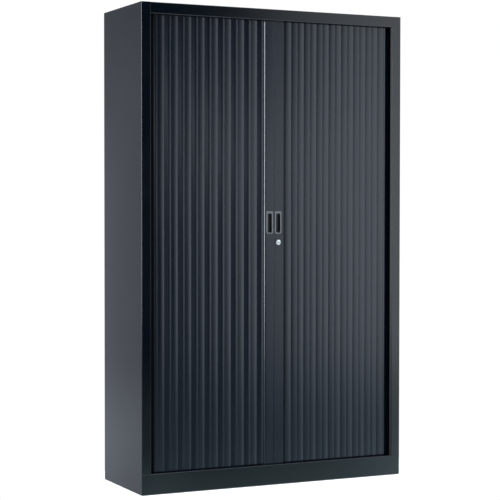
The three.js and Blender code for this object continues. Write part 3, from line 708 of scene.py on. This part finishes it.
def make_leads():
    x0, x1, y0, y1, r = LEAD_X0, LEAD_W, LEAD_FRONT, LEAD_BACK, LEAD_R
    rb = 0.5
    v = lambda q: TRACK_Y - q
    joint = {}
    for side, rj in (("left", 0.5), ("right", 1.8)):
        joint[side] = arc(x0 + rb, y1 - rb, rb, 90, 180, 3)
        joint[side] += [(x0, y0 + rj + 0.5)] + arc(x0 + rj, y0 + rj, rj, 180, 270, 10) + [(x0 + rj + 0.6, y0)]
    # the face falls away a little towards the outer edge, then a broad chamfer in two steps
    broad = [(x1 - 9.0 + q, y0 + 0.27 * (q / 4.6) ** 2) for q in (0.0, 0.9, 1.8, 2.7, 3.6, 4.4)]
    broad += [(x1 - 4.30, y0 + 0.36), (x1 - 4.04, y0 + 0.56), (x1 - 2.80, y0 + 1.80), (x1 - 1.50, y0 + 3.12)]
    broad += [(x1 - 1.30, y0 + 3.38), (x1 - 0.80, y0 + 4.20), (x1 - 0.20, y0 + 5.20), (x1, y0 + 5.6)]
    tight = [(x1 - 1.4, y0)] + arc(x1 - 0.8, y0 + 0.8, 0.8, 270, 360, 8) + [(x1, y0 + 1.4)]
    # the fin and the bead that hold the lead slat
    back = [(x1, v(3.4)), (LEAD_HINGE - 1.2, v(3.4)), (LEAD_HINGE - 1.1, v(3.2))]
    back += [(LEAD_HINGE + q[0], v(q[1])) for q in arc(0, 0, 1.4, 94.3, -212.0, 22)]
    back += [(LEAD_HINGE - 1.94, v(2.2)), (x1, v(2.2))]
    back += arc(x1 - rb, y1 - rb, rb, 0, 90, 3)
    i = LEAD_WALL
    ri = r - i
    inner = [(x0 + i, y1 - i)] + arc(x0 + i + ri, y0 + i + ri, ri, 180, 270, 6) + [(x1 - 5.4, y0 + i), (x1 - i, y0 + 5.4), (x1 - i, y1 - i)]
    for side, sign in (("left", -1), ("right", 1)):
        node = f"{side}_lead_profile"
        outer = joint[side] + (broad if side == "left" else tight) + back
        bm = bmesh.new()
        prism(bm, mirrored(outer, sign), SLAT_Z0, SLAT_Z1, [mirrored(inner, sign)])
        o = loose(bm, "blank")
        cutters = [slab(pocket_loop(CUP_W - 3.4, CUP_H - 3.6, 8.6, 0.6), -197, -191, sign)]
        cutters.append(slab([(-1, 1021.5), (2.6, 1021.5), (2.6, 1041.5), (-1, 1041.5)], -184.2, -179.8, sign))
        if sign > 0:
            cutters.append(slab(round_loop(LOCK_X, LOCK_Z, 9.3), -197, -191))
        carve(o, *cutters)
        bm = bmesh.new()
        bm.from_mesh(o.data)
        bpy.data.objects.remove(o)
        o = finish_mesh(bm, f"{side}_lead_extrusion", f"{side}_curtain", LEAD, 30.0)
        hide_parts(node)


make_leads()


# ------------------------------------------------------------------ grip cups
def make_cups():
    for side, sign in (("left", -1), ("right", 1)):
        rings = []

        def ring(inset, y, drop=0.0):
            # the bar above the opening is broader than the one below it
            low, high = 9.0 - inset * 0.75, max(1.4 - inset * 0.1, 0.5)
            loop = pocket_loop(CUP_W - 2 * inset, CUP_H - 2 * inset - drop * 1.1, max(low, 0.8), high, 8, CUP_X, CUP_Z - drop * 2.15)
            rings.append([(sign * x * MM, y * MM, z * MM) for x, z in loop])

        # from the back of the cup's body, forward, over the rim and down into the pocket
        ring(3.6, -181.5)
        ring(2.25, -182.6)
        ring(2.2, -195.3)
        ring(0.0, -195.3)
        ring(0.0, -195.5)
        for k in range(1, 7):
            a = math.radians(90 * k / 6)
            ring(1.8 * (1 - math.cos(a)), -195.5 - 0.8 * math.sin(a))
        ring(4.8, -196.3, 1.0)
        for k in range(1, 6):
            a = math.radians(90 * k / 5)
            ring(4.8 + 0.9 * math.sin(a), -196.3 + 0.9 * (1 - math.cos(a)), 1.0)
        ring(5.8, -192.0, 1.0)
        ring(6.0, -186.6, 1.0)
        for k in range(1, 6):
            a = math.radians(90 * k / 5)
            ring(6.0 + 3.0 * (1 - math.cos(a)), -186.6 + 3.0 * math.sin(a), 1.0)
        bm = bmesh.new()
        loft(bm, rings)
        o = finish_mesh(bm, f"{side}_grip_cup", f"{side}_curtain", CUP, 50.0)
        # the rim in front of the lead takes the grey, partly a painted highlight
        o.data.materials.append(GREY_RIM_AND_HIGHLIGHT)
        for f in o.data.polygons:
            if f.center.y < -195.35 * MM:
                f.material_index = 1
        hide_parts(f"{side}_handle_cup")


make_cups()


# ------------------------------------------------------------------ lock
def turned(bm, profile, n=64):
    """A body turned about the lock's axis from a closed profile of (radius, y)."""
    made = []
    for r, y in profile:
        if r < 1e-6:
            v = bm.verts.new((LOCK_X * MM, y * MM, LOCK_Z * MM))
            made.append([v] * n)
        else:
            made.append(
                [
                    bm.verts.new(
                        ((LOCK_X + r * math.cos(2 * math.pi * i / n)) * MM, y * MM, (LOCK_Z + r * math.sin(2 * math.pi * i / n)) * MM)
                    )
                    for i in range(n)
                ]
            )
    m = len(made)
    for a, b in ((made[i], made[(i + 1) % m]) for i in range(m)):
        for i in range(n):
            j = (i + 1) % n
            quad = []
            for v in (a[i], a[j], b[j], b[i]):
                if v not in quad:
                    quad.append(v)
            if len(quad) > 2:
                try:
                    bm.faces.new(quad)
                except ValueError:
                    pass


def make_lock():
    bm = bmesh.new()
    collar = [(7.3, -184.5), (9.0, -184.5), (9.0, -195.3), (10.6, -195.3)]
    collar += [(10.6, -196.2), (10.35, -196.6), (10.2, -199.9)]
    collar += [(9.2 + 1.0 * math.cos(math.radians(a)), -200.4 - 1.1 * math.sin(math.radians(a))) for a in range(0, 91, 15)]
    collar += [(8.4, -201.45), (7.9, -201.3), (7.5, -201.0), (7.3, -200.5)]
    turned(bm, collar)
    o = finish_mesh(bm, "lock_collar", "right_curtain", CHROME, 28.0)
    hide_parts("lock_body")
    bm = bmesh.new()
    plug = [(0, -184.2), (7.0, -184.2), (7.0, -200.3)]
    plug += [(6.3 + 0.7 * math.cos(math.radians(a)), -200.5 - 0.7 * math.sin(math.radians(a))) for a in range(15, 91, 15)]
    plug += [(0, -201.2)]
    turned(bm, plug)
    o = loose(bm, "blank")
    # the keyway lies flat in the open position, its round end at the right
    key = [(LOCK_X - 4.2, LOCK_Z - 1.3), (LOCK_X + 0.36, LOCK_Z - 1.3)]
    key += arc(LOCK_X + 2.4, LOCK_Z, 2.42, -147.5, 147.5, 16)
    key += [(LOCK_X + 0.36, LOCK_Z + 1.3), (LOCK_X - 4.2, LOCK_Z + 1.3)]
    carve(o, slab(key, -208, -194))
    bm = bmesh.new()
    bm.from_mesh(o.data)
    bpy.data.objects.remove(o)
    # the square end that carries the hook
    loft(bm, [[((LOCK_X + a * 3) * MM, y * MM, (LOCK_Z + b * 3) * MM) for a, b in ((1, 1), (-1, 1), (-1, -1), (1, -1))] for y in (-185.0, -180.3)])
    o = finish_mesh(bm, "lock_plug", "lock", CHROME, 28.0)
    # the keyway's walls take the near-black material: painted shade inside the slot
    o.data.materials.append(KEYWAY_SHADE)
    for f in o.data.polygons:
        x, y, z = (q / MM for q in f.center)
        across = abs(x - LOCK_X) < 4.9 and abs(z - LOCK_Z) < 2.5
        if across and -201.05 < y < -193.9:
            f.material_index = 1
    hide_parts("lock_barrel")


make_lock()


# ------------------------------------------------------------------ plinth
def sheet_outline(path, radii, t=0.8, steps=9):
    """The outline of a folded sheet to the right of a path; radii are those inside the folds."""
    near, far = [], []

    def push(p, n):
        near.append(p)
        far.append((p[0] - t * n[0], p[1] - t * n[1]))

    d = unit(path[0], path[1])
    push(path[0], (-d[1], d[0]))
    for i in range(1, len(path) - 1):
        a, b = unit(path[i - 1], path[i]), unit(path[i], path[i + 1])
        angle = math.atan2(a[0] * b[1] - a[1] * b[0], a[0] * b[0] + a[1] * b[1])
        turn = 1 if angle > 0 else -1
        r = radii[i - 1] + (t if turn < 0 else 0.0)
        back = r * math.tan(abs(angle) / 2)
        start = (path[i][0] - a[0] * back, path[i][1] - a[1] * back)
        centre = (start[0] - a[1] * turn * r, start[1] + a[0] * turn * r)
        # a close point before and after the fold keeps the flats flat in shading
        push((start[0] - a[0] * 0.25, start[1] - a[1] * 0.25), (-a[1], a[0]))
        for k in range(steps + 1):
            q = angle * k / steps
            e = (a[0] * math.cos(q) - a[1] * math.sin(q), a[0] * math.sin(q) + a[1] * math.cos(q))
            n = (-e[1], e[0])
            push((centre[0] - n[0] * turn * r, centre[1] - n[1] * turn * r), n)
        push((near[-1][0] + b[0] * 0.25, near[-1][1] + b[1] * 0.25), (-b[1], b[0]))
    d = unit(path[-2], path[-1])
    push(path[-1], (-d[1], d[0]))
    return near + far[::-1]


def make_plinth():
    path = [(-195.0, 2.0), (-215.0, 2.0), (-215.0, 85.0), (-207.0, 85.0), (-207.0, 74.0)]
    outline = sheet_outline(path, (0.6, 1.6, 0.6))
    bm = bmesh.new()
    loft(bm, [[(x * MM, y * MM, z * MM) for y, z in outline] for x in (-598.9, 598.9)])
    o = finish_mesh(bm, "plinth_sheet", "cabinet", PAINT, 32.0)
    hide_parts("front_plinth")


make_plinth()


def make_shade_strips():
    """A near-black matt strip on the lip behind each stile, up to the curtain: painted shade for the shadow in that
    gap.
    """
    for side, sign in (("left", -1), ("right", 1)):
        tip = 540.5 if sign < 0 else 545.5
        strip = [(559.2, -197.1), (559.2, -197.9), (558.9, -198.2), (tip + 9.0, -198.2), (tip + 7.5, -198.0), (tip + 0.2, -197.2)]
        strip += [(tip, -196.95), (tip + 0.2, -196.65), (tip + 0.7, -196.6), (547.2, -196.75), (547.7, -197.1)]
        if sign > 0:
            strip = strip[:-2] + [(547.4, -196.8), (547.7, -197.1)]
        bm = bmesh.new()
        prism(bm, mirrored(strip, sign), 86.0, 1934.0)
        finish_mesh(bm, f"{side}_edge_shade_strip", "cabinet", SHADE_STRIP, 30.0)


make_shade_strips()


def make_trim():
    """A slim bead in the colour of the shell along the inner edge of the right stile."""
    nx, ny = -0.819, -0.574
    cx, cy, r = 558.4, -213.2, 1.4
    bead = [(559.95, -206.6), (559.95, cy - r), (cx + 0.25, cy - r)]
    bead += [(cx + r * math.cos(math.radians(q)), cy + r * math.sin(math.radians(q))) for q in range(270, 214, -5)]
    x0, y0 = cx + r * nx, cy + r * ny
    bead += [(x0 + q * ny, y0 - q * nx) for q in (0.25, 6.0)]
    bead += [(x0 + 6.0 * ny + 0.4, y0 - 6.0 * nx + 0.5)]
    bm = bmesh.new()
    prism(bm, bead, 86.0, 1934.0)
    finish_mesh(bm, "right_edge_trim", "cabinet", PAINT, 28.0)


make_trim()


# ------------------------------------------------------------------ carried nodes
def soften(node, width, segments=2, angle=24.0):
    o = nodes[node]
    b = o.modifiers.new("edges", "BEVEL")
    b.width = width
    b.segments = segments
    b.limit_method = "ANGLE"
    b.angle_limit = math.radians(angle)
    b.harden_normals = False
    return b


SHEETS = [
    "left_side_panel", "right_side_panel", "top_panel", "base_pan", "back_panel", "left_liner", "right_liner",
    "inner_back_panel", "bottom_shelf", "shelf_1", "shelf_2", "shelf_3", "shelf_4",
]
for n in SHEETS:
    soften(n, 0.00012)

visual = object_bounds()
{"cad": [list(v) for v in CAD_BOX], "visual": [list(v) for v in visual]}
